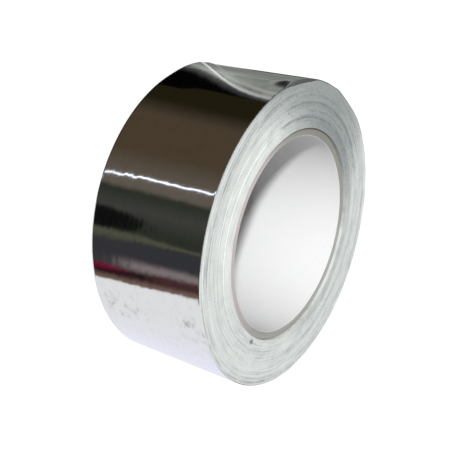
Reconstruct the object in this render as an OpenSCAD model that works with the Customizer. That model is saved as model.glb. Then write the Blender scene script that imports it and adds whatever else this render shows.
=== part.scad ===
// Roll of aluminium foil tape on a cardboard core, standing on its end, in millimetres.
// +Z is the roll's axis. The origin is the centre of the end that the roll stands on.

/* [Tape] */
// Width of the tape
tape_w = 48; // [24:1:100]
// Length of tape on the roll, in metres
tape_len_m = 50; // [30:1:60]
// Thickness of one turn: foil, adhesive and paper liner
turn_t = 0.1125; // [0.1:0.0005:0.16]

/* [Core] */
// Bore of the cardboard core
core_bore_d = 76; // [50:0.5:90]
// Wall of the cardboard core
core_wall = 3; // [1.5:0.25:5]
// How far each end of the core lies behind the edges of the tape
core_recess = 1.2; // [0.2:0.1:3]
// Rounding of the core's cut ends, as a chamfer
core_chamfer = 0.3; // [0.1:0.05:0.6]

/* [Turns on the faces] */
// Number of groups of turns that show as rings on each face
ring_count = 9; // [6:1:14]
// Height of the highest ring over the lowest one
ring_step = 0.3; // [0.1:0.05:0.6]
// Width of the slope from one ring to the next
ring_slope = 0.2; // [0.1:0.05:0.3]
// Width of the loose last turn with its edge, seen on a face
last_turn_w = 0.35; // [0.2:0.05:0.6]
// Width of the gap between the last turn and the turns under it
last_gap_w = 0.25; // [0.15:0.05:0.4]
// Depth of the gap between the last turn and the turns under it
last_gap_depth = 0.7; // [0.3:0.1:1.5]

/* [Free end] */
// Angle of the cut edge of the free end, from +X towards +Y
tail_angle = 112.5; // [60:0.5:160]
// How far the cut edge's corner stands off the roll
tail_lift = 0.9; // [0.4:0.1:2]
// How far the cut edge stands off the roll elsewhere
tail_rest_lift = 0.3; // [0.25:0.05:0.5]
// Distance of the free end's side edges from the faces of the roll
tail_inset = 0.15; // [0.05:0.05:0.5]
// Angle from the cut edge to the diagonal crease at the upper face
crease_top_turn = 14.5; // [11:0.5:25]
// Angle from the cut edge to the diagonal crease at the lower face, which lies past the edge
crease_base_turn = -11.5; // [-20:0.5:8]
// Width of the folded strip beside the crease, as an angle
crease_w_turn = 6.5; // [5:0.5:10]
// Height of the crease's ridge over the roll
crease_h = 0.5; // [0.45:0.05:1]

/* [Dented rim] */
// Angle of the middle of the dent from the cut edge of the free end
dent_turn = -6; // [-30:1:20]
// Depth of the dent, measured along the face
dent_depth = 1.2; // [0.4:0.1:2]

/* [Hidden] */
$fn = 128;
mm_per_m = 1000;
core_r = core_bore_d / 2 + core_wall;
core_len = tape_w - 2 * core_recess;
roll_r = sqrt(core_r * core_r + tape_len_m * mm_per_m * turn_t / PI);
// The turns between the core and the gap beside the last turn are divided into equal rings.
rings_r = roll_r - last_turn_w - last_gap_w;
ring_w = (rings_r - core_r) / ring_count;
// The heights of the rings follow each other in steps that do not repeat on neighbours.
ring_levels = 7;
ring_skip = 5;
// The free end is a net of points: rows across the tape, and columns from its root to the cut edge.
tail_columns = 9;
tail_rows = 13;
// Column of the crease's ridge, and the angle from there back to the root, which is sunk in the roll
ridge_column = 2;
root_turn = 7;
root_sink = 2 * turn_t;
// Share of the ridge's height that the column before it has
foot_share = 0.35;
// Power by which the lifted corner dies away across the tape
corner_power = 3;
// Slope of the dent's upper flat to the face, and how much steeper the lower one is
dent_slope = 35;
dent_slope_more = 30;

// How far a ring lies under the highest ring of its face
function ring_drop(i) = ring_step * ((i * ring_skip) % ring_levels) / (ring_levels - 1);

// One face of the wound turns, from the core outwards, as radius and drop
function face_line() = [
    for (i = [0 : ring_count - 1])
        each [
            [core_r + i * ring_w + (i == 0 ? 0 : ring_slope / 2), ring_drop(i)],
            [core_r + (i + 1) * ring_w - (i == ring_count - 1 ? 0 : ring_slope / 2), ring_drop(i)]
        ],
    [rings_r + last_gap_w / 2, last_gap_depth],
    [rings_r + last_gap_w, 0],
    [roll_r, 0]
];

// Angle of the diagonal crease at height z, which is steepest at the upper face
function crease_angle(z) =
    tail_angle + crease_base_turn + (crease_top_turn - crease_base_turn) * sin(90 * z / tape_w);

// Angle of the free end's edge at height z: the straight cut, then along the crease's folded strip
function edge_angle(z) = min(tail_angle, crease_angle(z) - crease_w_turn);

// Height of the row of points j over the end that the roll stands on
function row_z(j) = tail_inset + (tape_w - 2 * tail_inset) * j / (tail_rows - 1);

// Angle of column i at height z: two columns up to the crease's ridge and the rest beyond it
function column_angle(i, z) =
    i <= ridge_column
        ? crease_angle(z) + root_turn * (1 - i / ridge_column)
        : let (s = (i - ridge_column) / (tail_columns - 1 - ridge_column))
          crease_angle(z) + (edge_angle(z) - crease_angle(z)) * s;

// Height of the free end's outer face over the roll at column i and height z
function column_lift(i, z) =
    i == 0 ? -root_sink
    : i < ridge_column ? crease_h * foot_share
    : i == ridge_column ? crease_h
    : let (s = (i - ridge_column) / (tail_columns - 1 - ridge_column))
      let (corner = tail_lift * pow(z / tape_w, corner_power) * s * s)
      max(crease_h * (1 - s) * (1 - s), tail_rest_lift) + max(0, corner - tail_rest_lift);

// Point of the free end in column i at height z, so far under its outer face
function tail_point(i, z, under) =
    let (r = roll_r + column_lift(i, z) - under)
    let (a = column_angle(i, z))
    [r * cos(a), r * sin(a), z];

// Number of the point in column i and row j of a face of the free end
function at(i, j) = j * tail_columns + i;

// The two triangles of a four-sided face
function halves(q) = [[q[0], q[1], q[2]], [q[0], q[2], q[3]]];

// Spiral-wound paperboard tube
module cardboard_core() {
    color("tan")
    translate([0, 0, core_recess])
    rotate_extrude()
    polygon([
        [core_bore_d / 2, core_chamfer],
        [core_bore_d / 2 + core_chamfer, 0],
        [core_r - core_chamfer, 0],
        [core_r, core_chamfer],
        [core_r, core_len - core_chamfer],
        [core_r - core_chamfer, core_len],
        [core_bore_d / 2 + core_chamfer, core_len],
        [core_bore_d / 2, core_len - core_chamfer]
    ]);
}

// All the turns under the free end, with their edges as rings on both faces
module turns() {
    line = face_line();
    last = len(line) - 1;
    rotate_extrude()
    polygon([
        for (p = line) [p[0], p[1]],
        for (i = [0 : last]) [line[last - i][0], tape_w - line[last - i][1]]
    ]);
}

// Two flats, one over the other, that take the crushed stretch off the upper rim
module rim_dent() {
    rotate([0, 0, tail_angle + dent_turn])
    for (k = [0 : 1])
        translate([roll_r - dent_depth / (k + 1), 0, tape_w])
        rotate([0, dent_slope + dent_slope_more * k - 90, 0])
        translate([0, -roll_r, -roll_r])
        cube([roll_r, 2 * roll_r, 2 * roll_r]);
}

// The loose end of the last turn, standing off the roll from its diagonal crease to the cut edge
module free_end() {
    count = tail_columns * tail_rows;
    last = tail_columns - 1;
    top = tail_rows - 1;
    outer = [for (j = [0 : top], i = [0 : last]) tail_point(i, row_z(j), 0)];
    inner = [for (j = [0 : top], i = [0 : last]) tail_point(i, row_z(j), turn_t)];
    sheet = [
        for (j = [0 : top - 1], i = [0 : last - 1])
            each halves([at(i, j), at(i + 1, j), at(i + 1, j + 1), at(i, j + 1)])
    ];
    ends = [
        for (j = [0 : top - 1])
            each concat(
                halves([at(0, j + 1), count + at(0, j + 1), count + at(0, j), at(0, j)]),
                halves([at(last, j), count + at(last, j), count + at(last, j + 1), at(last, j + 1)])
            )
    ];
    sides = [
        for (i = [0 : last - 1])
            each concat(
                halves([at(i, 0), count + at(i, 0), count + at(i + 1, 0), at(i + 1, 0)]),
                halves([at(i + 1, top), count + at(i + 1, top), count + at(i, top), at(i, top)])
            )
    ];
    underside = [for (f = sheet) [count + f[0], count + f[2], count + f[1]]];
    polyhedron(points = concat(outer, inner), faces = concat(sheet, underside, ends, sides));
}

// The whole winding as one piece
module wound_tape() {
    color("silver")
    union() {
        difference() {
            turns();
            rim_dent();
        }
        free_end();
    }
}

cardboard_core();
wound_tape();
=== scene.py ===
"""Looks of the roll of aluminium foil tape: its wound turns, its loose last turn and its cardboard core."""

import math

import bmesh
import bpy
from bpy.props import FloatProperty, FloatVectorProperty, IntProperty, PointerProperty
from mathutils import Matrix, Quaternion, Vector, noise


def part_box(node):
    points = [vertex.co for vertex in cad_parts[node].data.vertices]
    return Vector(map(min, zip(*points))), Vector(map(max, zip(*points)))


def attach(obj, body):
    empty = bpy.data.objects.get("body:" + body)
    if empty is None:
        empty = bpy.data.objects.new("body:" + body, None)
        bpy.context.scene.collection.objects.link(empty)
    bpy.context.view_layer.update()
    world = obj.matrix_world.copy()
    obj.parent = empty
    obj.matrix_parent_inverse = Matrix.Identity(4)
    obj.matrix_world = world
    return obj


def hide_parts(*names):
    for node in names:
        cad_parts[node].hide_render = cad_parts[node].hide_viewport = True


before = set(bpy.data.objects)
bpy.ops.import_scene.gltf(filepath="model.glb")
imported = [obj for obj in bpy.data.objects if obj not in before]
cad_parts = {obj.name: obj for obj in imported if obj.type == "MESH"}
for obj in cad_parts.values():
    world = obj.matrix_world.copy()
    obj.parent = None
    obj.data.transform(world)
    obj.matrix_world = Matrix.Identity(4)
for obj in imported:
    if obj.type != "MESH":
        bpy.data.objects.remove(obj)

bl_info = {
    "name": "Roll of foil tape",
    "version": (1, 0, 0),
    "blender": (4, 5, 0),
    "location": "3D View > Sidebar > Foil tape",
    "description": "Adds a roll of aluminium foil tape on its cardboard core, and a stage for it",
    "category": "Add Mesh",
}

MM = 0.001
MICRON = 0.000001
FULL_TURN = 2 * math.pi
# Edges sharper than this are not shaded smooth.
SHARP_ANGLE = math.radians(30)
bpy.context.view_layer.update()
TAPE_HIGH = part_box("wound_tape")[1]
CORE_LOW, CORE_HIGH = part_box("cardboard_core")


class RollSizes(bpy.types.PropertyGroup):
    """Sizes that the winding, its last turn and the core share."""

    radius: FloatProperty(
        name="Radius", description="Outer radius of the roll, without the lifted free end",
        default=TAPE_HIGH.x, min=0.045, max=0.09, unit="LENGTH")
    width: FloatProperty(
        name="Width", description="Width of the tape",
        default=TAPE_HIGH.z, min=0.02, max=0.1, unit="LENGTH")
    core_radius: FloatProperty(
        name="Core radius", description="Outer radius of the cardboard core",
        default=CORE_HIGH.x, min=0.03, max=0.05, unit="LENGTH")
    core_wall: FloatProperty(
        name="Core wall", description="Thickness of the cardboard core's wall",
        default=3 * MM, min=1.5 * MM, max=5 * MM, unit="LENGTH")
    core_recess: FloatProperty(
        name="Core recess", description="How far the core's ends lie behind the faces of the roll",
        default=CORE_LOW.z, min=0, max=3 * MM, unit="LENGTH")
    turn: FloatProperty(
        name="Turn", description="Thickness of one turn: foil, adhesive and liner",
        default=0.1125 * MM, min=0.1 * MM, max=0.16 * MM, precision=5, unit="LENGTH")


class WindingSizes(bpy.types.PropertyGroup):
    """Sizes of the rings that the edges of the turns make on both faces."""

    rings: IntProperty(
        name="Rings", description="Number of rings of turns on a face", default=58, min=20, max=80)
    ring_step: FloatProperty(
        name="Ring step", description="Largest difference of height between single rings",
        default=0.05 * MM, min=0, max=0.3 * MM, precision=5, unit="LENGTH")
    group_step: FloatProperty(
        name="Group step", description="How far whole groups of turns stand back from the face",
        default=0.08 * MM, min=0, max=0.4 * MM, precision=5, unit="LENGTH")
    groove_depth: FloatProperty(
        name="Groove depth", description="Depth of the grooves between groups of turns",
        default=0.2 * MM, min=0, max=1 * MM, precision=5, unit="LENGTH")
    last_gap: FloatProperty(
        name="Last gap", description="Width of the gap between the last turn and the winding",
        default=0.22 * MM, min=0.05 * MM, max=0.5 * MM, precision=5, unit="LENGTH")
    dent_depth: FloatProperty(
        name="Dent depth", description="How far the crushed stretch of the upper rim is pushed in",
        default=1.4 * MM, min=0, max=3 * MM, unit="LENGTH")
    dent_angle: FloatProperty(
        name="Dent angle", description="Where the middle of the dent lies round the roll",
        default=math.radians(105), subtype="ANGLE")
    dent_reach: FloatProperty(
        name="Dent reach", description="Half of the dent's length round the roll",
        default=math.radians(14), subtype="ANGLE")
    dent_height: FloatProperty(
        name="Dent height", description="How far the dent reaches down the side",
        default=2.2 * MM, min=1 * MM, max=15 * MM, unit="LENGTH")


class FreeEndSizes(bpy.types.PropertyGroup):
    """Sizes of the last turn's free end and of the crease across it."""

    cut_angle: FloatProperty(
        name="Cut angle", description="Where the straight cut edge lies round the roll",
        default=math.radians(112.5), subtype="ANGLE")
    crease_top: FloatProperty(
        name="Crease top", description="Where the crease meets the upper face, from the cut edge",
        default=math.radians(14.5), subtype="ANGLE")
    crease_base: FloatProperty(
        name="Crease base", description="Where the crease meets the lower face, from the cut edge",
        default=math.radians(-9.8), subtype="ANGLE")
    strip_width: FloatProperty(
        name="Strip width", description="Width of the folded strip between the crease and the edge",
        default=math.radians(6.5), subtype="ANGLE")
    crease_foot: FloatProperty(
        name="Crease foot", description="How far behind the crease the tape leaves the roll",
        default=math.radians(20), subtype="ANGLE")
    crease_height: FloatProperty(
        name="Crease height", description="Height over the roll of the tape at the crease",
        default=0.6 * MM, min=0, max=2 * MM, precision=5, unit="LENGTH")
    crease_step: FloatProperty(
        name="Crease step", description="Height of the rounded step down at the crease",
        default=0.28 * MM, min=0, max=1 * MM, precision=5, unit="LENGTH")
    fold_step: FloatProperty(
        name="Fold step", description="Height of the rounded step down beside the folded strip",
        default=0.2 * MM, min=0, max=1 * MM, precision=5, unit="LENGTH")
    crease_step_width: FloatProperty(
        name="Crease step width", description="Width of the rounded step down at the crease",
        default=math.radians(2.1), subtype="ANGLE")
    fold_step_width: FloatProperty(
        name="Fold step width", description="Width of the rounded step down beside the folded strip",
        default=math.radians(1.4), subtype="ANGLE")
    dip: FloatProperty(
        name="Dip", description="How far the turn under the free end dips beside the cut edge",
        default=0.15 * MM, min=0, max=1 * MM, precision=5, unit="LENGTH")
    dip_reach: FloatProperty(
        name="Dip reach", description="How far the dip reaches from the cut edge",
        default=math.radians(2.6), subtype="ANGLE")
    flap_height: FloatProperty(
        name="Flap height", description="Height of the flap between the strip and the cut edge",
        default=0.12 * MM, min=0, max=1 * MM, precision=5, unit="LENGTH")
    corner_lift: FloatProperty(
        name="Corner lift", description="How far the cut edge's upper corner stands off the roll",
        default=1.3 * MM, min=0, max=2 * MM, precision=5, unit="LENGTH")
    corner_height: FloatProperty(
        name="Corner height", description="How far the lifted corner reaches down the cut edge",
        default=9 * MM, min=1 * MM, max=40 * MM, unit="LENGTH")
    corner_reach: FloatProperty(
        name="Corner reach", description="How far the lifted corner reaches along the tape",
        default=math.radians(6.5), subtype="ANGLE")


class RollColours(bpy.types.PropertyGroup):
    """Colours and finish of the foil, the edges of the turns and the board."""

    foil: FloatVectorProperty(
        name="Foil", description="Colour of the bare aluminium",
        default=(0.90, 0.91, 0.92), subtype="COLOR", min=0, max=1)
    foil_roughness: FloatProperty(
        name="Foil roughness", description="Roughness of the foil's mirror finish",
        default=0.045, min=0, max=1, subtype="FACTOR")
    edge: FloatVectorProperty(
        name="Turn edges", description="Colour of the paper and adhesive at the edges of the turns",
        default=(0.66, 0.69, 0.672), subtype="COLOR", min=0, max=1)
    # Painted shade: colour of the greyed upper stretch of the turns' edges
    edge_shaded: FloatVectorProperty(
        name="Shaded turn edges", description="Colour of the greyed stretch of the turns' edges",
        default=(0.25, 0.277, 0.272), subtype="COLOR", min=0, max=1)
    edge_dark: FloatVectorProperty(
        name="Turn grooves", description="Colour of the dust and shade between the turns",
        default=(0.19, 0.212, 0.212), subtype="COLOR", min=0, max=1)
    board: FloatVectorProperty(
        name="Board", description="Colour of the core's cut cardboard",
        default=(0.35, 0.35, 0.33), subtype="COLOR", min=0, max=1)
    board_dark: FloatVectorProperty(
        name="Board plies", description="Colour of the glue lines between the core's plies",
        default=(0.22, 0.213, 0.20), subtype="COLOR", min=0, max=1)
    lining: FloatVectorProperty(
        name="Lining", description="Colour of the core's white inner ply",
        default=(0.70, 0.705, 0.70), subtype="COLOR", min=0, max=1)


class StageSettings(bpy.types.PropertyGroup):
    """The floor, the lights, the surround that the foil mirrors and the camera."""

    floor: FloatVectorProperty(
        name="Floor", description="Colour of the floor",
        default=(0.52, 0.52, 0.52), subtype="COLOR", min=0, max=1)
    floor_glow: FloatProperty(
        name="Floor glow", description="Even brightness of the floor, which keeps its shadows pale",
        default=0.55, min=0, max=1)
    floor_size: FloatProperty(
        name="Floor size", description="Radius of the round floor", default=4, min=1, max=20, unit="LENGTH")
    soft_light: FloatProperty(
        name="Soft light", description="Brightness of the even light from all round",
        default=0.55, min=0, max=3)
    key_strength: FloatProperty(
        name="Key strength", description="Strength of the main light, in watts a square metre",
        default=3.6, min=0, max=100)
    key_softness: FloatProperty(
        name="Key softness", description="How wide the main light looks, which softens shadows",
        default=math.radians(4), subtype="ANGLE")
    key_azimuth: FloatProperty(
        name="Key azimuth", description="Where the main light stands round the roll",
        default=math.radians(163), subtype="ANGLE")
    key_elevation: FloatProperty(
        name="Key elevation", description="How high the main light stands",
        default=math.radians(30), subtype="ANGLE")
    lens: FloatProperty(
        name="Lens", description="Focal length of the camera on a 36 mm sensor",
        default=65.34, min=10, max=300)
    camera_place: FloatVectorProperty(
        name="Camera place", description="Where the camera stands",
        default=(-271.25 * MM, 37.4 * MM, 192.4 * MM), subtype="TRANSLATION", unit="LENGTH")
    camera_aim: FloatVectorProperty(
        name="Camera aim", description="The point that the camera looks at",
        default=(-0.45 * MM, -3.0 * MM, 16.85 * MM), subtype="TRANSLATION", unit="LENGTH")
    camera_roll: FloatProperty(
        name="Camera roll", description="Turn of the camera about its view, to lay the roll on its side",
        default=math.radians(105.44), subtype="ANGLE")


class Wire:
    """An output of a node, with arithmetic that adds Math nodes to its tree."""

    def __init__(self, nodes, socket):
        self.nodes = nodes
        self.socket = socket

    def math(self, operation, *others):
        return self.nodes.math(operation, self, *others)

    def __add__(self, other):
        return self.math("ADD", other)

    __radd__ = __add__

    def __sub__(self, other):
        return self.math("SUBTRACT", other)

    def __rsub__(self, other):
        return self.nodes.math("SUBTRACT", other, self)

    def __mul__(self, other):
        return self.math("MULTIPLY", other)

    __rmul__ = __mul__

    def __truediv__(self, other):
        return self.math("DIVIDE", other)

    def __pow__(self, power):
        return self.math("POWER", power)

    def above(self, edge, softness):
        """0 under the edge and 1 over it, with a smooth change of that width."""
        settings = {"interpolation_type": "SMOOTHSTEP"}
        sockets = {"Value": self, "From Min": edge - softness / 2, "From Max": edge + softness / 2}
        return self.nodes.add("ShaderNodeMapRange", settings, sockets)

    def near(self, centre, reach):
        """1 at the centre, falling smoothly to 0 at that distance from it."""
        return 1 - (self - centre).math("ABSOLUTE").above(reach / 2, reach)


class Nodes:
    """The nodes of a material or of the world."""

    def __init__(self, tree):
        self.tree = tree
        tree.nodes.clear()

    def add(self, kind, settings=None, sockets=None, out=0):
        node = self.tree.nodes.new(kind)
        for name, value in (settings or {}).items():
            if name == "stops":
                self.set_stops(node.color_ramp, value)
            else:
                setattr(node, name, value)
        for name, value in (sockets or {}).items():
            if isinstance(value, Wire):
                self.tree.links.new(value.socket, node.inputs[name])
            else:
                node.inputs[name].default_value = value
        return Wire(self, node.outputs[out]) if len(node.outputs) else node

    def set_stops(self, ramp, stops):
        while len(ramp.elements) > 1:
            ramp.elements.remove(ramp.elements[-1])
        for place, (position, colour) in enumerate(stops):
            element = ramp.elements[0] if place == 0 else ramp.elements.new(position)
            element.position = position
            element.color = (*colour, 1)

    def math(self, operation, *values):
        return self.add("ShaderNodeMath", {"operation": operation}, dict(enumerate(values)))

    def vector(self, x, y, z):
        return self.add("ShaderNodeCombineXYZ", None, {"X": x, "Y": y, "Z": z})

    def split(self, vector):
        sockets = {"Vector": vector}
        first = self.add("ShaderNodeSeparateXYZ", None, sockets)
        return [Wire(self, first.socket.node.outputs[axis]) for axis in range(3)]

    def noise(self, vector, detail=2.0, roughness=0.5):
        sockets = {"Vector": vector, "Scale": 1.0, "Detail": detail, "Roughness": roughness}
        return self.add("ShaderNodeTexNoise", {"noise_dimensions": "3D"}, sockets)

    def mix(self, factor, first, second):
        sockets = {0: factor, 6: first, 7: second}
        return self.add("ShaderNodeMix", {"data_type": "RGBA"}, sockets, out=2)

    def bump(self, height):
        """Fine relief from a height in micrometres."""
        sockets = {"Height": height, "Distance": MICRON, "Strength": 1.0}
        return self.add("ShaderNodeBump", None, sockets)

    def surface(self, **sockets):
        """Ends a material with a Principled shader that has those sockets, named with underscores."""
        named = {name.replace("_", " "): value for name, value in sockets.items()}
        shader = self.add("ShaderNodeBsdfPrincipled", None, named)
        self.add("ShaderNodeOutputMaterial", None, {"Surface": shader})


def with_alpha(colour):
    return (*colour, 1)


def new_material(name):
    material = bpy.data.materials.new(name)
    material.use_nodes = True
    return material, Nodes(material.node_tree)


def round_coordinates(nodes):
    """Cosine and sine of the angle round the object's axis, the height, and the distance from the axis."""
    place = nodes.add("ShaderNodeTexCoord", out=3)
    x, y, z = nodes.split(place)
    radius = (x * x + y * y) ** 0.5
    return x / radius, y / radius, z, radius


# Painted dark reflections on the foil, grey spots where its wrinkles would mirror the dark room: distance
# along the tape from the cut, height, reach and strength
DARK_REFLECTION_SPOTS = (
    (105 * MM, 43.5 * MM, 8 * MM, 1.7),
    (106 * MM, 8 * MM, 9 * MM, 1.4),
    (104 * MM, 19 * MM, 7 * MM, 1.0),
    (116 * MM, 30 * MM, 12 * MM, 0.2),
)


def foil_material():
    """Bare aluminium foil: a slightly wavy mirror with rolling lines, smudges and painted dark reflections,
    made pale and matt at its crease and fold as a painted highlight.
    """
    look = bpy.context.scene.roll_colours
    material, nodes = new_material("mirror_foil")
    along, across, _ = nodes.split(nodes.add("ShaderNodeUVMap", {"uv_map": "tape"}))
    lines = nodes.noise(nodes.vector(along * 18, across * 5200, 0), detail=3)
    wave = nodes.noise(nodes.vector(along * 170, across * 240, 3), detail=1, roughness=0.35)
    jag = nodes.noise(nodes.vector(along * 430, across * 560, 5), detail=0)
    swell = nodes.noise(nodes.vector(along * 38, across * 45, 9), detail=1)
    blotch_noise = nodes.noise(nodes.vector(along * 240, across * 330, 21), detail=4, roughness=0.65)
    blotches = blotch_noise.above(0.60, 0.3)
    smudges_and_dark_reflections = blotches * 0.16
    # Painted reflection: grey spots greying the mirror where its wrinkles would reflect the dark room
    for place, height, reach, strength in DARK_REFLECTION_SPOTS:
        spot = along.near(place, reach) * across.near(height, reach)
        smudges_and_dark_reflections = smudges_and_dark_reflections + blotches * spot * strength
    ends = bpy.context.scene.free_end_sizes
    rolls = bpy.context.scene.roll_sizes
    climb = (across * (math.pi / 2 / rolls.width)).math("SINE")
    crease = (climb * (ends.crease_top - ends.crease_base) + ends.crease_base) * rolls.radius
    strip = (1 - across * (0.25 / rolls.width)) * (ends.strip_width * rolls.radius)
    flap = (crease - along - strip).above(0, 1 * MM) * along.above(0, 0.1 * MM)
    # Painted reflection: the flap between the cut edge and the fold is greyed to look darker in the mirror
    smudges_and_dark_reflections = (smudges_and_dark_reflections + flap * (0.35 + blotch_noise * 0.3)).math("MINIMUM", 1)
    fray = nodes.noise(nodes.vector(along * 500, across * 500, 40), detail=2) - 0.5
    # Painted highlight: the crease's ridge and the fold beside the strip are made pale, matt and less
    # metallic, so the key light brightens them like a glint
    ridge_highlight = (along - crease + fray * (0.9 * MM)).near(-0.4 * MM, 1.45 * MM)
    fold = (along - crease + strip + fray * (0.6 * MM)).near(0.7 * MM, 0.9 * MM)
    crease_highlight = (ridge_highlight * (1.9 - climb * 1.7) + fold * (0.8 - climb * 0.7)).math("MINIMUM", 1)
    crease_highlight = crease_highlight.math("MAXIMUM", 0)
    lip = along.near(0.35 * MM, 0.55 * MM) * 0.55
    colour = nodes.mix(smudges_and_dark_reflections, with_alpha(look.foil), (0.55, 0.57, 0.58, 1))
    colour = nodes.mix(lines.above(0.5, 0.7) * 0.08, colour, (0.62, 0.63, 0.65, 1))
    colour = nodes.mix(lip, colour, (0.74, 0.80, 0.60, 1))
    colour = nodes.mix(crease_highlight, colour, (0.92, 0.93, 0.95, 1))
    roughness = look.foil_roughness + lines * 0.03 + smudges_and_dark_reflections * 0.25 + crease_highlight * 0.4
    height = wave * 26 + jag * 6 + swell * 60 + lines * 0.05
    nodes.surface(Base_Color=colour, Metallic=1 - crease_highlight * 0.9 - lip * 0.5, Roughness=roughness,
                  Normal=nodes.bump(height))
    return material


# Dark arcs on the faces: radius, middle angle, half of their length, width, drift inwards and strength
ARCS = (
    (54.8 * MM, math.radians(155), math.radians(45), 0.9 * MM, 0, 0.45),
    (53.6 * MM, math.radians(155), math.radians(38), 0.6 * MM, 0, 0.35),
    (56.3 * MM, math.radians(150), math.radians(48), 0.6 * MM, 0, 0.35),
    (49.4 * MM, math.radians(0), math.radians(85), 2.0 * MM, 0, 0.28),
    (55.4 * MM, math.radians(5), math.radians(70), 2.4 * MM, 0, 0.22),
    (42.9 * MM, math.radians(12), math.radians(78), 5.4 * MM, 0, 0.29),
    (45.7 * MM, math.radians(-120), math.radians(28), 0.6 * MM, -0.9 * MM, 0.28),
    (44.8 * MM, math.radians(85), math.radians(36), 0.8 * MM, 0.9 * MM, 0.85),
    (50.3 * MM, math.radians(82), math.radians(34), 0.7 * MM, 0.6 * MM, 0.75),
    (47.2 * MM, math.radians(75), math.radians(24), 0.5 * MM, 0.3 * MM, 0.60),
    (52.8 * MM, math.radians(66), math.radians(26), 0.5 * MM, 0.2 * MM, 0.45),
    (57.7 * MM, math.radians(-80), math.radians(75), 0.7 * MM, 0.1 * MM, 0.45),
    (56.2 * MM, math.radians(-110), math.radians(40), 0.7 * MM, 0, 0.25),
)
# Arcs wider than this are hardly broken up.
WIDE_ARC = 1.5 * MM
# The stretch of the faces greyed with painted shade: its middle, and how far that turns from there to the
# outer turns
TOP_SHADE_PLACE = math.radians(80)
TOP_SHADE_TURN = math.radians(9)
# Painted highlight: the whitest stretch of the faces, next to the core, where the grooved edges would shine
SHEEN_PLACE = math.radians(160)
# A dark nick in the turns' edges: cosine and sine of its angle, and its radius
MARK = (math.cos(math.radians(-112)), math.sin(math.radians(-112)), 43 * MM)


def edge_material():
    """The stacked edges of foil, adhesive and paper liner that make up both faces of the roll."""
    look = bpy.context.scene.roll_colours
    material, nodes = new_material("turn_edges")
    cos, sin, _, radius = round_coordinates(nodes)
    turn = nodes.noise(nodes.vector(cos * 3.6, sin * 3.6, radius * 6000), detail=3)
    group = nodes.noise(nodes.vector(cos * 1.6, sin * 1.6, radius * 900), detail=3, roughness=0.6)
    ring = nodes.noise(nodes.vector(cos * 3.4, sin * 3.4, radius * 2500 + 30), detail=2)
    patch = nodes.noise(nodes.vector(cos * 7, sin * 7, radius * 240), detail=4, roughness=0.6)
    break_up = nodes.noise(nodes.vector(cos * 9, sin * 9, radius * 400 + 7), detail=2)
    speck = nodes.noise(nodes.vector(cos * 130, sin * 130, radius * 950), detail=1)
    shade = turn.above(0.60, 0.22) * 0.16 + group.above(0.60, 0.24) * 0.22
    shade = shade + ring.above(0.62, 0.16) * 0.26 + patch.above(0.56, 0.3) * 0.15
    for place, centre, reach, width, drift, strength in ARCS:
        turned_cos = cos * math.cos(centre) + sin * math.sin(centre)
        turned_sin = sin * math.cos(centre) - cos * math.sin(centre)
        inside = turned_cos.above(math.cos(reach), 0.5 - 0.5 * math.cos(reach))
        wavy = radius - turned_sin * drift + patch * (0.5 * MM)
        worn_off = (1 - break_up.above(0.42, 0.3)) * (0.3 if width > WIDE_ARC else 1)
        shade = shade + wavy.near(place + 0.25 * MM, width) * inside * (1 - worn_off) * strength
    # Painted shade greys the upper stretch of both faces, where more specks lie
    outward = (radius - 49 * MM) / (7 * MM) * math.tan(TOP_SHADE_TURN)
    top_shade_cos = math.cos(TOP_SHADE_PLACE) - outward * math.sin(TOP_SHADE_PLACE)
    top_shade_sin = math.sin(TOP_SHADE_PLACE) + outward * math.cos(TOP_SHADE_PLACE)
    painted_top_shade = (cos * top_shade_cos + sin * top_shade_sin).above(0.79, 0.5)
    # Painted highlight: the edges are whiter on the stretch next to the core where they would shine
    painted_sheen = (sin * math.sin(SHEEN_PLACE) + cos * math.cos(SHEEN_PLACE)).above(0.72, 0.5)
    painted_sheen = painted_sheen * radius.near(45 * MM, 10 * MM)
    inner = radius.near(46 * MM, 7 * MM)
    specks = speck.above(0.71, 0.05) * 0.5 + speck.above(0.64 - inner * 0.04, 0.05) * painted_top_shade * 0.7
    speck_cos, speck_sin, speck_radius = MARK
    mark = (cos * speck_cos + sin * speck_sin).above(0.9997, 0.0003) * radius.near(speck_radius, 1.6 * MM)
    specks = specks + mark * 0.9
    colour = nodes.mix(painted_sheen * 0.8, with_alpha(look.edge), (0.80, 0.825, 0.80, 1))
    colour = nodes.mix(painted_top_shade * 0.86, colour, with_alpha(look.edge_shaded))
    shade = (shade + specks).math("MINIMUM", 1)
    colour = nodes.mix(shade, colour, with_alpha(look.edge_dark))
    height = turn * 22 + group * 18 + ring * 12
    nodes.surface(Base_Color=colour, Roughness=0.5 + patch * 0.2, Normal=nodes.bump(height))
    return material


def board_material():
    """Cut paperboard: grey pulp, pinkish on one side, with darker glue lines between its plies and painted
    shade over another side.
    """
    look = bpy.context.scene.roll_colours
    material, nodes = new_material("cut_board")
    cos, sin, z, radius = round_coordinates(nodes)
    ply = nodes.noise(nodes.vector(cos * 1.1, sin * 1.1, radius * 2300), detail=2)
    pulp = nodes.noise(nodes.vector(cos * 90, sin * 90, radius * 2600 + z * 2600), detail=4, roughness=0.7)
    tint = nodes.noise(nodes.vector(cos * 1.6, sin * 1.6, 0), detail=1)
    colour = nodes.mix(ply.above(0.58, 0.25), with_alpha(look.board), with_alpha(look.board_dark))
    colour = nodes.mix(pulp.above(0.6, 0.3) * 0.35, colour, (0.46, 0.455, 0.435, 1))
    pink = (0 - cos).above(0.55, 0.8)
    colour = nodes.mix(pink * (0.45 + tint * 0.5), colour, (0.52, 0.45, 0.45, 1))
    # Painted shade: one side of the cut edge is darkened
    painted_side_shade = (sin * 0.92 + cos * 0.38).above(0.55, 0.7)
    colour = nodes.mix(painted_side_shade * 0.55, colour, (0.24, 0.235, 0.20, 1))
    height = pulp * 60 + ply * 45
    nodes.surface(Base_Color=colour, Roughness=0.85, Normal=nodes.bump(height))
    return material


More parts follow.
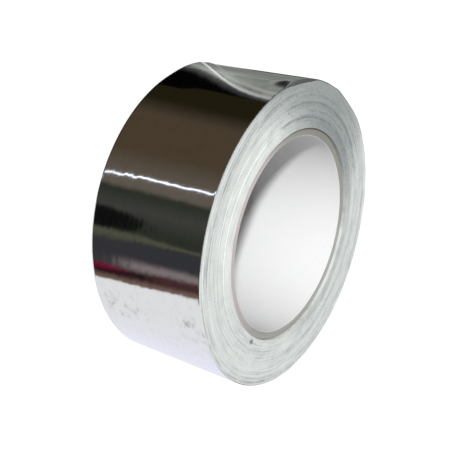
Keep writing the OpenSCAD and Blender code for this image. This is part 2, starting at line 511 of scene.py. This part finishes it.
def lining_material():
    """The core's white inner ply: smooth paper with faint fibres, a faint seam and painted shade at its
    lower rim.
    """
    look = bpy.context.scene.roll_colours
    sizes = bpy.context.scene.roll_sizes
    material, nodes = new_material("white_lining")
    cos, sin, z, _ = round_coordinates(nodes)
    fibre = nodes.noise(nodes.vector(cos * 35, sin * 35, z * 900), detail=4, roughness=0.6)
    cloud = nodes.noise(nodes.vector(cos * 2.2, sin * 2.2, z * 45), detail=2)
    angle = sin.math("ARCTAN2", cos) / FULL_TURN
    climb = (z / (sizes.width * 1.9) - angle).math("FRACT")
    seam = climb.near(0.5, 0.005)
    colour = nodes.mix(cloud.above(0.5, 0.5) * 0.12, with_alpha(look.lining), (0.72, 0.73, 0.76, 1))
    # Painted shade: the lowest few millimetres, deep in the bore, are darkened
    colour = nodes.mix((1 - z.above(5 * MM, 6 * MM)) * 0.35, colour, (0.12, 0.12, 0.12, 1))
    colour = nodes.mix(seam * 0.08, colour, (0.46, 0.45, 0.44, 1))
    height = fibre * 14 - seam * 15
    nodes.surface(Base_Color=colour, Roughness=0.62 + cloud * 0.12, Normal=nodes.bump(height))
    return material


def floor_material():
    """Pale floor that glows a little; under the roll and in its bore it is dark and glows less, as painted
    shade.
    """
    material, nodes = new_material("pale_floor")
    stage = bpy.context.scene.stage_settings
    _, _, _, radius = round_coordinates(nodes)
    open_floor = radius.above(bpy.context.scene.roll_sizes.radius - 4 * MM, 4 * MM)
    # Painted shade: the floor under the roll and in its bore is dark
    painted_bore_shade = (0.24, 0.235, 0.23, 1)
    glow = nodes.mix(open_floor, painted_bore_shade, (1, 1, 1, 1))
    colour = nodes.mix(open_floor, painted_bore_shade, with_alpha(stage.floor))
    nodes.surface(Base_Color=colour, Roughness=0.9,
                  Emission_Color=glow, Emission_Strength=stage.floor_glow)
    return material


def bell(x):
    """1 at 0, falling smoothly to 0 at 1 and -1."""
    return (1 - x * x) ** 2 if abs(x) < 1 else 0.0


def smooth(x):
    x = min(max(x, 0.0), 1.0)
    return x * x * (3 - 2 * x)


def ramp(x, soft=0.28):
    """0 before 0 and 1 after 1, straight in between with rounded ends."""
    x = min(max(x, 0.0), 1.0)
    if x < soft:
        return x * x / (2 * soft * (1 - soft))
    if x > 1 - soft:
        return 1 - (1 - x) ** 2 / (2 * soft * (1 - soft))
    return (x - soft / 2) / (1 - soft)


def wander(seed, *place):
    """Smooth noise from -1 to 1, the same on every run."""
    return noise.noise(Vector((*place, 0, 0)[:3]) + Vector((seed * 17.3, seed * 5.1, seed * 9.7)))


def on_roll(radius, angle, z):
    return Vector((radius * math.cos(angle), radius * math.sin(angle), z))


def polar(point):
    return math.hypot(point.x, point.y), math.atan2(point.y, point.x), point.z


def turned(angle, centre):
    """An angle from a centre, between half a turn back and half a turn on."""
    return (angle - centre + math.pi) % FULL_TURN - math.pi


# Crushed stretches of the upper rim: angle from the main dent and share of its depth
DENTS = (
    (0, 1.0),
    (math.radians(-20), 0.38),
    (math.radians(-36), 0.5),
)
# How far in from the outer turn the dents reach, and their sag along the axis as a share of the push
DENT_BAND = 4 * MM
DENT_SAG = 0.35


def dented(radius, angle, z):
    """Pushes in the crushed stretches of the upper rim."""
    roll = bpy.context.scene.roll_sizes
    sizes = bpy.context.scene.winding_sizes
    away = turned(angle, sizes.dent_angle)
    round_share = max(share * bell((away - aside) / (sizes.dent_reach * (1.5 - 0.5 * share)))
                      for aside, share in DENTS)
    height_share = smooth((z - roll.width + sizes.dent_height) / sizes.dent_height) ** 2
    depth_share = smooth((radius - roll.radius + DENT_BAND) / DENT_BAND)
    push = sizes.dent_depth * round_share * height_share * depth_share
    return radius - push, angle, z - DENT_SAG * push * height_share


def finish_piece(name, bm, materials, nodes):
    """Makes the object of a bmesh, with its materials and body, and hides the CAD nodes that it stands for.
    """
    bmesh.ops.recalc_face_normals(bm, faces=bm.faces[:])
    mesh = bpy.data.meshes.new(name)
    bm.to_mesh(mesh)
    bm.free()
    mesh.polygons.foreach_set("use_smooth", [True] * len(mesh.polygons))
    mesh.set_sharp_from_angle(angle=SHARP_ANGLE)
    piece = bpy.data.objects.new(name, mesh)
    bpy.context.scene.collection.objects.link(piece)
    for material in materials:
        mesh.materials.append(material)
    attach(piece, "root")
    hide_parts(*nodes)
    return piece


def spun_profile(points, steps):
    """A closed ring from a closed outline of radius and height."""
    bm = bmesh.new()
    corners = [bm.verts.new((radius, 0, z)) for radius, z in points]
    edges = [bm.edges.new((corner, corners[(place + 1) % len(corners)]))
             for place, corner in enumerate(corners)]
    bmesh.ops.spin(bm, geom=corners + edges, cent=(0, 0, 0), axis=(0, 0, 1), angle=FULL_TURN,
                   steps=steps, use_merge=True, use_duplicate=False)
    return bm


def ring_drops(seed):
    """How far each ring of turns stands back from the face: single rings and whole groups."""
    sizes = bpy.context.scene.winding_sizes
    drops = []
    for ring in range(sizes.rings):
        share = ring / (sizes.rings - 1)
        single = sizes.ring_step * (0.5 + 0.5 * wander(seed, ring * 3.7))
        group = sizes.group_step * (0.5 + 0.5 * wander(seed + 1, share * 7))
        drops.append(single + group)
    return drops


class TAPE_OT_winding(bpy.types.Operator):
    """Adds the wound turns, with their edges as rings on both faces"""

    bl_idname = "tape.winding"
    bl_label = "Wound turns"

    steps = 288
    # Places and width of the grooves as shares of the winding's depth, and how far they wander
    groove_places = (0.27, 0.50, 0.76, 0.93)
    groove_width = 0.018
    groove_drift = 0.012
    # Unevenness of a face, how far its outermost share is rounded back, and its clearance from the box
    unevenness = 0.05 * MM
    rounding = 0.12 * MM
    rounded_share = 0.015
    clearance = 0.01 * MM

    def face(self, seed):
        """One face from the core outwards, as radius and drop."""
        roll = bpy.context.scene.roll_sizes
        sizes = bpy.context.scene.winding_sizes
        start = roll.core_radius
        end = roll.radius - roll.turn - sizes.last_gap
        pitch = (end - start) / sizes.rings
        line = []
        for ring, drop in enumerate(ring_drops(seed)):
            near, far = start + ring * pitch, start + (ring + 1) * pitch
            line.append((near + (0 if ring == 0 else pitch * 0.22), drop))
            line.append((far - (0 if ring == sizes.rings - 1 else pitch * 0.12), drop))
        return line

    def groove(self, share, angle, seed):
        """Depth share of the grooves between groups of turns, which come and go round the roll."""
        depth = 0
        for place, centre in enumerate(self.groove_places):
            drift = self.groove_drift * wander(seed + place, math.cos(angle), math.sin(angle))
            strength = 0.5 + 0.5 * wander(seed + 9 + place, 1.4 * math.cos(angle), 1.4 * math.sin(angle))
            depth = max(depth, strength * bell((share - centre - drift) / self.groove_width))
        return depth

    def execute(self, context):
        roll = context.scene.roll_sizes
        sizes = context.scene.winding_sizes
        lower, upper = self.face(2), self.face(5)
        outline = [*lower, *((radius, roll.width - drop) for radius, drop in reversed(upper))]
        bm = spun_profile(outline, self.steps)
        end = roll.radius - roll.turn - sizes.last_gap
        for vert in bm.verts:
            radius, angle, z = polar(vert.co)
            share = (radius - roll.core_radius) / (end - roll.core_radius)
            side = 1 if z > roll.width / 2 else -1
            tilt = wander(40 + side, 1.1 * math.cos(angle), 1.1 * math.sin(angle), share * 3)
            drop = sizes.groove_depth * self.groove(share, angle, 20 + 30 * (side + 1))
            edge_drop = self.rounding * smooth((share - 1 + self.rounded_share) / self.rounded_share)
            z -= side * (drop + self.unevenness * abs(tilt) + edge_drop + self.clearance)
            vert.co = on_roll(*dented(radius, angle, z))
        finish_piece("wound_turns", bm, [edge_material()], ["wound_tape"])
        return {"FINISHED"}


class TAPE_OT_last_turn(bpy.types.Operator):
    """Adds the loose last turn of foil, with its lifted free end, its crease and its cut edge"""

    bl_idname = "tape.last_turn"
    bl_label = "Last turn"

    rows = 88
    # Columns of points on the flap, the strip, the foot and the plain turn
    counts = (30, 36, 22, 300)
    least_flap = math.radians(0.5)
    # Distances of the tape from the faces and from the roll's radius, and the depth of its slight waves
    inset = 0.04 * MM
    sunk = 0.06 * MM
    waviness = 0.035 * MM
    # How far the turn runs on under its own free end
    under_reach = math.radians(80)
    # The flap is not dented; the turn is, from this far behind the cut.
    first_dented = math.radians(20)

    def crease(self, z):
        """Angle of the crease at height z, from the straight cut."""
        sizes = bpy.context.scene.free_end_sizes
        share = math.sin(math.pi / 2 * min(max(z / bpy.context.scene.roll_sizes.width, 0), 1))
        return sizes.crease_base + (sizes.crease_top - sizes.crease_base) * share

    def strip(self, z):
        """Width of the folded strip at height z, as an angle."""
        share = z / bpy.context.scene.roll_sizes.width
        return bpy.context.scene.free_end_sizes.strip_width * (1 - 0.25 * share)

    def stations(self, z):
        """Angles at height z where the flap, the strip, the foot and the plain turn begin and end."""
        sizes = bpy.context.scene.free_end_sizes
        crease = self.crease(z)
        edge = min(0, crease - self.strip(z))
        fold = max(crease - self.strip(z), edge + self.least_flap)
        return edge, fold, crease, crease + sizes.crease_foot, FULL_TURN + self.under_reach

    def column_angle(self, column, z):
        """Angle from the cut of a column of points; the columns crowd together at the folds."""
        stations = self.stations(z)
        for part, count in enumerate(self.counts):
            if column <= count:
                break
            column -= count
        share = column / count
        if part < 2:
            share = 0.5 - 0.5 * math.cos(math.pi * share)
        elif part == 2:
            share = share ** 1.5
        return stations[part] + (stations[part + 1] - stations[part]) * share

    def lift(self, angle, z):
        """How far the tape stands off the roll at an angle from the straight cut."""
        sizes = bpy.context.scene.free_end_sizes
        width = bpy.context.scene.roll_sizes.width
        behind = angle - self.crease(z)
        share = z / width
        height = sizes.crease_height * (1 - 0.6 * share)
        if behind >= 0:
            return height * bell(behind / (sizes.crease_foot * (1 - 0.6 * share)))
        step = sizes.crease_step * (1 - 0.7 * share)
        fold = sizes.fold_step * (1 - 0.6 * share)
        strip = self.strip(z)
        level = height - step * ramp(-behind / sizes.crease_step_width)
        level += (sizes.flap_height + fold - height + step) * smooth(-behind / strip)
        level -= fold * ramp(1 - (strip + behind) / sizes.fold_step_width)
        corner = smooth((z - width + sizes.corner_height) / sizes.corner_height)
        corner *= smooth(1 - angle / sizes.corner_reach)
        return level + sizes.corner_lift * corner

    def execute(self, context):
        roll = context.scene.roll_sizes
        bm = bmesh.new()
        columns = sum(self.counts)
        bmesh.ops.create_grid(bm, x_segments=columns, y_segments=self.rows, size=1)
        tape_map = bm.loops.layers.uv.new("tape")
        cut = context.scene.free_end_sizes.cut_angle
        dip, dip_reach = context.scene.free_end_sizes.dip, context.scene.free_end_sizes.dip_reach
        flat = {}
        for vert in bm.verts:
            z = self.inset + (vert.co.y + 1) / 2 * (roll.width - 2 * self.inset)
            angle = self.column_angle(round((vert.co.x + 1) / 2 * columns), z)
            radius = roll.radius - self.sunk - roll.turn * max(angle, 0) / FULL_TURN
            radius -= dip * smooth((angle - FULL_TURN + dip_reach) / dip_reach)
            radius += self.lift(angle, z) if angle < math.pi else 0
            radius += self.waviness * wander(7, 5 * math.cos(angle), 5 * math.sin(angle), z * 30)
            flat[vert] = (roll.radius * angle, z)
            place = (radius, cut + angle, z)
            if angle > self.first_dented:
                place = dented(*place)
            vert.co = on_roll(*place)
        for face in bm.faces:
            for loop in face.loops:
                loop[tape_map].uv = flat[loop.vert]
        piece = finish_piece("last_turn", bm, [foil_material(), edge_material()], ["wound_tape"])
        outward = piece.data.polygons[len(piece.data.polygons) // 2]
        if outward.normal.dot(Vector((outward.center.x, outward.center.y, 0))) < 0:
            piece.data.flip_normals()
        solid = piece.modifiers.new("tape thickness", "SOLIDIFY")
        solid.thickness = roll.turn * 0.85
        solid.offset = -1
        solid.use_even_offset = True
        solid.material_offset = 1
        solid.material_offset_rim = 1
        return {"FINISHED"}


class TAPE_OT_core_board(bpy.types.Operator):
    """Adds the cardboard core's outer plies, with their cut edges"""

    bl_idname = "tape.core_board"
    bl_label = "Core board"

    steps = 240
    plies = 7
    lining = 0.16 * MM
    # Roughness of the cut ends, depth of the glue lines, rounding of the ply edges and of the outer corner
    fuzz = 0.05 * MM
    groove = 0.07 * MM
    ply_edge = 0.05 * MM
    ply_drop = 0.02 * MM
    round_off = 0.3 * MM
    # How much higher the upper end is on one side, where it stands crooked in the roll
    skew = 0.45 * MM

    def execute(self, context):
        roll = context.scene.roll_sizes
        inner = roll.core_radius - roll.core_wall + self.lining
        outer = roll.core_radius
        low, high = roll.core_recess, roll.width - roll.core_recess
        line = [(inner, 0.0)]
        for ply in range(self.plies):
            near = inner + (outer - self.round_off - inner) * ply / self.plies
            far = inner + (outer - self.round_off - inner) * (ply + 1) / self.plies
            line += [(near + self.ply_edge, self.ply_drop), ((near + far) / 2, 0.0)]
            line += [(far - self.ply_edge, self.ply_drop), (far, self.groove)]
        line += [(outer - self.round_off * 0.3, self.round_off * 0.3), (outer, self.round_off)]
        outline = [(radius, low + drop) for radius, drop in line]
        outline += [(radius, high - drop) for radius, drop in reversed(line)]
        bm = spun_profile(outline, self.steps)
        for vert in bm.verts:
            radius, angle, z = polar(vert.co)
            if z > roll.width / 2:
                vert.co.z += self.skew * smooth(-math.cos(angle))
            if inner < radius < outer:
                side = 1 if z > roll.width / 2 else -1
                rough = wander(60 + side, 24 * math.cos(angle), 24 * math.sin(angle), radius * 1500)
                vert.co.z -= side * self.fuzz * (0.5 + 0.5 * rough)
        finish_piece("core_board", bm, [board_material()], ["cardboard_core"])
        return {"FINISHED"}


class TAPE_OT_core_lining(bpy.types.Operator):
    """Adds the core's white inner ply"""

    bl_idname = "tape.core_lining"
    bl_label = "Core lining"

    steps = 240
    # Gap to the board, how far the ply's ends lie behind the board's, and the rounding of its inner edges
    gap = 0.01 * MM
    set_back = 0.08 * MM
    lip = 0.05 * MM
    levels = 12

    def execute(self, context):
        roll = context.scene.roll_sizes
        inner = roll.core_radius - roll.core_wall
        outer = inner + TAPE_OT_core_board.lining - self.gap
        low = roll.core_recess + self.set_back
        high = roll.width - roll.core_recess - self.set_back
        wall = high - low - 2 * self.lip
        heights = [low + self.lip + wall * level / self.levels for level in range(self.levels + 1)]
        outline = [(inner, z) for z in reversed(heights)]
        outline += [(inner + self.lip, low), (outer, low), (outer, high), (inner + self.lip, high)]
        bm = spun_profile(outline, self.steps)
        for vert in bm.verts:
            _, angle, z = polar(vert.co)
            if z > high - 1 * MM:
                vert.co.z += TAPE_OT_core_board.skew * smooth(-math.cos(angle))
        finish_piece("core_lining", bm, [lining_material()], ["cardboard_core"])
        return {"FINISHED"}


class TAPE_OT_stage(bpy.types.Operator):
    """Adds the floor, the soft lights, the surround that the foil mirrors and the camera"""

    bl_idname = "tape.stage"
    bl_label = "Stage"

    # Tones of the room that the foil mirrors
    pale_grey = (0.52, 0.54, 0.50)
    mid_grey = (0.20, 0.21, 0.19)
    near_black = (0.015, 0.012, 0.005)
    dark_brown = (0.04, 0.03, 0.02)
    brown = (0.07, 0.05, 0.03)
    grey_brown = (0.12, 0.10, 0.08)
    dark_green = (0.025, 0.03, 0.02)
    grey_green = (0.05, 0.05, 0.045)
    dark_purple = (0.035, 0.035, 0.04)
    wine_black = (0.015, 0.006, 0.008)
    warm_brown = (0.15, 0.09, 0.07)
    white = (0.80, 0.80, 0.80)
    cool_white = (0.85, 0.85, 0.95)
    black = (0.001, 0.001, 0.001)
    soft_black = (0.005, 0.005, 0.005)
    moss = (0.06, 0.065, 0.05)
    dark_moss = (0.03, 0.035, 0.03)
    crimson = (0.15, 0.005, 0.025)
    wine = (0.08, 0.03, 0.03)
    dusty_pink = (0.25, 0.20, 0.20)
    olive_green = (0.09, 0.09, 0.06)
    mauve_grey = (0.23, 0.20, 0.22)
    slate = (0.085, 0.078, 0.085)
    lamp_white = (2.4, 2.5, 2.9)
    # The bands of that room round the roll: azimuth in degrees and tone
    surround = (
        (0, pale_grey),
        (15, mid_grey),
        (25, mid_grey),
        (50, pale_grey),
        (74, pale_grey),
        (75, near_black),
        (92, near_black),
        (100, dark_brown),
        (108, brown),
        (140, brown),
        (160, grey_brown),
        (168, grey_brown),
        (171, dark_green),
        (184, grey_green),
        (200, dark_green),
        (210, dark_purple),
        (230, dark_purple),
        (234, wine_black),
        (237, wine_black),
        (241, warm_brown),
        (243.5, warm_brown),
        (244.5, white),
        (270, white),
        (320, cool_white),
        (345, cool_white),
        (360, pale_grey),
    )

    # Height of the middle of the mirrored part, the azimuth whose band stands upright, and the end of
    # the grey bands, all in degrees
    middle_height = -38
    upright_place = 150
    grey_end = 76

    def mirrored_surround(self, nodes):
        """Colour of the surround in a direction: upright bands that lean with height, and patches on them.

        rise is the height in degrees over the middle of what the foil mirrors in the photo's view.
        """
        x, y, z = nodes.split(nodes.add("ShaderNodeTexCoord", out=0))
        angle = y.math("ARCTAN2", x) / FULL_TURN
        azimuth = (angle + 1).math("FRACT") * 360
        height = z.math("ARCSINE") * math.degrees(1)
        rise = (height - self.middle_height).math("MAXIMUM", -7).math("MINIMUM", 7)
        leaning = self.upright_place + (azimuth - self.upright_place) * (1 + rise * 0.0105)
        leaning = leaning + leaning.above(228, 12) * rise * 0.45
        wrapped = leaning.math("MAXIMUM", 0) / 360
        bands = [(place / 360, tone) for place, tone in self.surround]
        colour = nodes.add("ShaderNodeValToRGB", {"stops": bands}, {"Fac": wrapped})

        def patch(share, new):
            return nodes.mix(share, colour, (*new, 1))

        shaded = rise.above(4.2, 3) * azimuth.above(38, 8) * 0.45
        in_grey = 1 - leaning.above(self.grey_end, 1)
        colour = patch(shaded * in_grey, self.moss)
        climbing = azimuth - 39 - rise * 4.9
        dark_side = climbing.above(0, 14) * 0.76 + climbing.above(9, 26) * 0.24
        colour = patch(dark_side * in_grey, self.black)
        low = 1 - rise.above(-0.8, 2.6)
        high = rise.above(1.6, 1.6)
        colour = patch(leaning.near(232, 4.5) * low, self.crimson)
        colour = patch(leaning.near(235, 5) * high * 0.8, self.wine)
        colour = patch(azimuth.near(14, 9) * rise.above(4.5, 2), self.dark_moss)
        pale = leaning.near(227, 7) * rise.above(-0.7, 3.4)
        colour = patch(pale * 0.9, self.dusty_pink)
        olive = leaning.near(205, (5 - rise).math("MAXIMUM", 2))
        colour = patch(olive * 0.85, self.olive_green)
        across, up = (leaning - 194.5) / 8, (rise + 3.6) / 3.8
        colour = patch(1 - (across * across + up * up).above(1, 0.9), self.soft_black)
        lamp = (leaning - 159.4 + (rise + 1).math("MINIMUM", 0) * 0.8).near(0, 0.85)
        colour = patch(lamp, self.lamp_white)
        mauve = azimuth.near(31, 8) * (1 - rise.above(1.6, 2))
        colour = patch(mauve * 0.6, self.mauve_grey)
        over = height.above(-22, 6) * azimuth.above(6, 10) * (1 - azimuth.above(70, 10)) * 0.7
        return patch(over, self.slate)

    def make_world(self, stage):
        """Plain soft light for everything, and the surround for what the foil mirrors."""
        world = bpy.data.worlds.new("soft_light")
        world.use_nodes = True
        world.cycles.sampling_method = "NONE"
        bpy.context.scene.world = world
        nodes = Nodes(world.node_tree)
        path = nodes.add("ShaderNodeLightPath")
        outputs = path.socket.node.outputs
        mirrored = Wire(nodes, outputs["Is Glossy Ray"])
        scattered = Wire(nodes, outputs["Diffuse Depth"])
        seen = Wire(nodes, outputs["Is Camera Ray"])
        x, y, z = nodes.split(nodes.add("ShaderNodeTexCoord", out=0))
        low_light, soft_light = ((*[stage.soft_light * share] * 3, 1) for share in (0.15, 1))
        soft = nodes.mix(z.above(0, 0.5), low_light, soft_light)
        plain = nodes.mix(seen, soft, (1, 1, 1, 1))
        sharp = mirrored * (1 - scattered.above(0.5, 0.1))
        colour = nodes.mix(sharp, plain, self.mirrored_surround(nodes))
        background = nodes.add("ShaderNodeBackground", None, {"Color": colour, "Strength": 1.0})
        nodes.add("ShaderNodeOutputWorld", None, {"Surface": background})

    def make_floor(self, stage):
        bm = bmesh.new()
        bmesh.ops.create_circle(bm, cap_ends=True, radius=stage.floor_size, segments=96)
        bmesh.ops.translate(bm, verts=bm.verts[:], vec=(0, 0, -0.05 * MM))
        mesh = bpy.data.meshes.new("floor")
        bm.to_mesh(mesh)
        bm.free()
        mesh.materials.append(floor_material())
        floor = bpy.data.objects.new("floor", mesh)
        bpy.context.scene.collection.objects.link(floor)
        floor.visible_glossy = False
        floor.visible_diffuse = False

    def make_key(self, stage):
        lamp = bpy.data.lights.new("key_light", "SUN")
        lamp.energy = stage.key_strength
        lamp.angle = stage.key_softness
        key = bpy.data.objects.new("key_light", lamp)
        level = math.cos(stage.key_elevation)
        away = Vector((level * math.cos(stage.key_azimuth), level * math.sin(stage.key_azimuth),
                       math.sin(stage.key_elevation)))
        key.location = away
        key.rotation_euler = away.to_track_quat("Z", "Y").to_euler()
        key.visible_glossy = False
        bpy.context.scene.collection.objects.link(key)

    def make_camera(self, stage):
        camera = bpy.data.objects.new("camera", bpy.data.cameras.new("camera"))
        camera.data.lens = stage.lens
        camera.data.sensor_width = 36
        camera.data.clip_start = 0.01
        place, aim = Vector(stage.camera_place), Vector(stage.camera_aim)
        upright = (aim - place).to_track_quat("-Z", "Y")
        rolled = upright @ Quaternion((0, 0, 1), stage.camera_roll)
        camera.matrix_world = Matrix.Translation(place) @ rolled.to_matrix().to_4x4()
        bpy.context.scene.collection.objects.link(camera)
        bpy.context.scene.camera = camera

    def execute(self, context):
        stage = context.scene.stage_settings
        self.make_camera(stage)
        self.make_floor(stage)
        self.make_key(stage)
        self.make_world(stage)
        context.scene.view_settings.view_transform = "Standard"
        return {"FINISHED"}


class TAPE_PT_panel(bpy.types.Panel):
    """Lists the pieces of the roll and their settings"""

    bl_idname = "TAPE_PT_panel"
    bl_label = "Foil tape"
    bl_space_type = "VIEW_3D"
    bl_region_type = "UI"
    bl_category = "Foil tape"

    def draw(self, context):
        layout = self.layout
        for step in STEPS:
            layout.operator(step.bl_idname)
        for settings in SETTINGS:
            group = getattr(context.scene, settings)
            box = layout.box()
            for name in group.bl_rna.properties.keys():
                if name not in {"rna_type", "name"}:
                    box.prop(group, name)


SETTINGS = {
    "roll_sizes": RollSizes,
    "winding_sizes": WindingSizes,
    "free_end_sizes": FreeEndSizes,
    "roll_colours": RollColours,
    "stage_settings": StageSettings,
}
STEPS = (TAPE_OT_stage, TAPE_OT_winding, TAPE_OT_last_turn, TAPE_OT_core_board, TAPE_OT_core_lining)


def register():
    for kind in (*SETTINGS.values(), *STEPS, TAPE_PT_panel):
        bpy.utils.register_class(kind)
    for name, kind in SETTINGS.items():
        setattr(bpy.types.Scene, name, PointerProperty(type=kind))


def unregister():
    for name in SETTINGS:
        delattr(bpy.types.Scene, name)
    for kind in (TAPE_PT_panel, *reversed(STEPS), *reversed(SETTINGS.values())):
        bpy.utils.unregister_class(kind)


def main():
    register()
    bpy.ops.tape.stage()
    bpy.ops.tape.winding()
    bpy.ops.tape.last_turn()
    bpy.ops.tape.core_board()
    bpy.ops.tape.core_lining()


if __name__ == "__main__":
    main()
